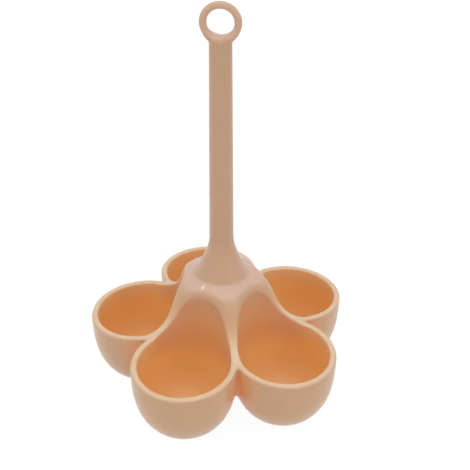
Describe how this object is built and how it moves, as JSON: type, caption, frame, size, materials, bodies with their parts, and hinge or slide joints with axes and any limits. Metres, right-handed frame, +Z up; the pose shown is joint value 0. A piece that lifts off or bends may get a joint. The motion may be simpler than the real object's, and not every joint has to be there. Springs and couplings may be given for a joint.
{
  "type": "egg steamer rack",
  "caption": "Flower-shaped silicone rack with open egg cups round a flared hub, a tall tapered stem and a hanging ring, to lower eggs into a pan and lift them out.",
  "frame": {"origin": "centre of the footprint's bounding box, on the plane that the cup feet stand on", "axes": "+Z up along the stem; the hanging ring lies in the XZ plane, the single cup stands on -X and the opposite gap between two cups points to +X"},
  "size_m": [0.1199, 0.1236, 0.198],
  "materials": {
    "silicone": "satin peach silicone"
  },
  "bodies": {
    "root": {"egg_cup_1": "silicone", "egg_cup_2": "silicone", "egg_cup_3": "silicone", "egg_cup_4": "silicone", "egg_cup_5": "silicone", "hub": "silicone", "stem": "silicone", "hanging_ring": "silicone"}
  },
  "joints": []
}
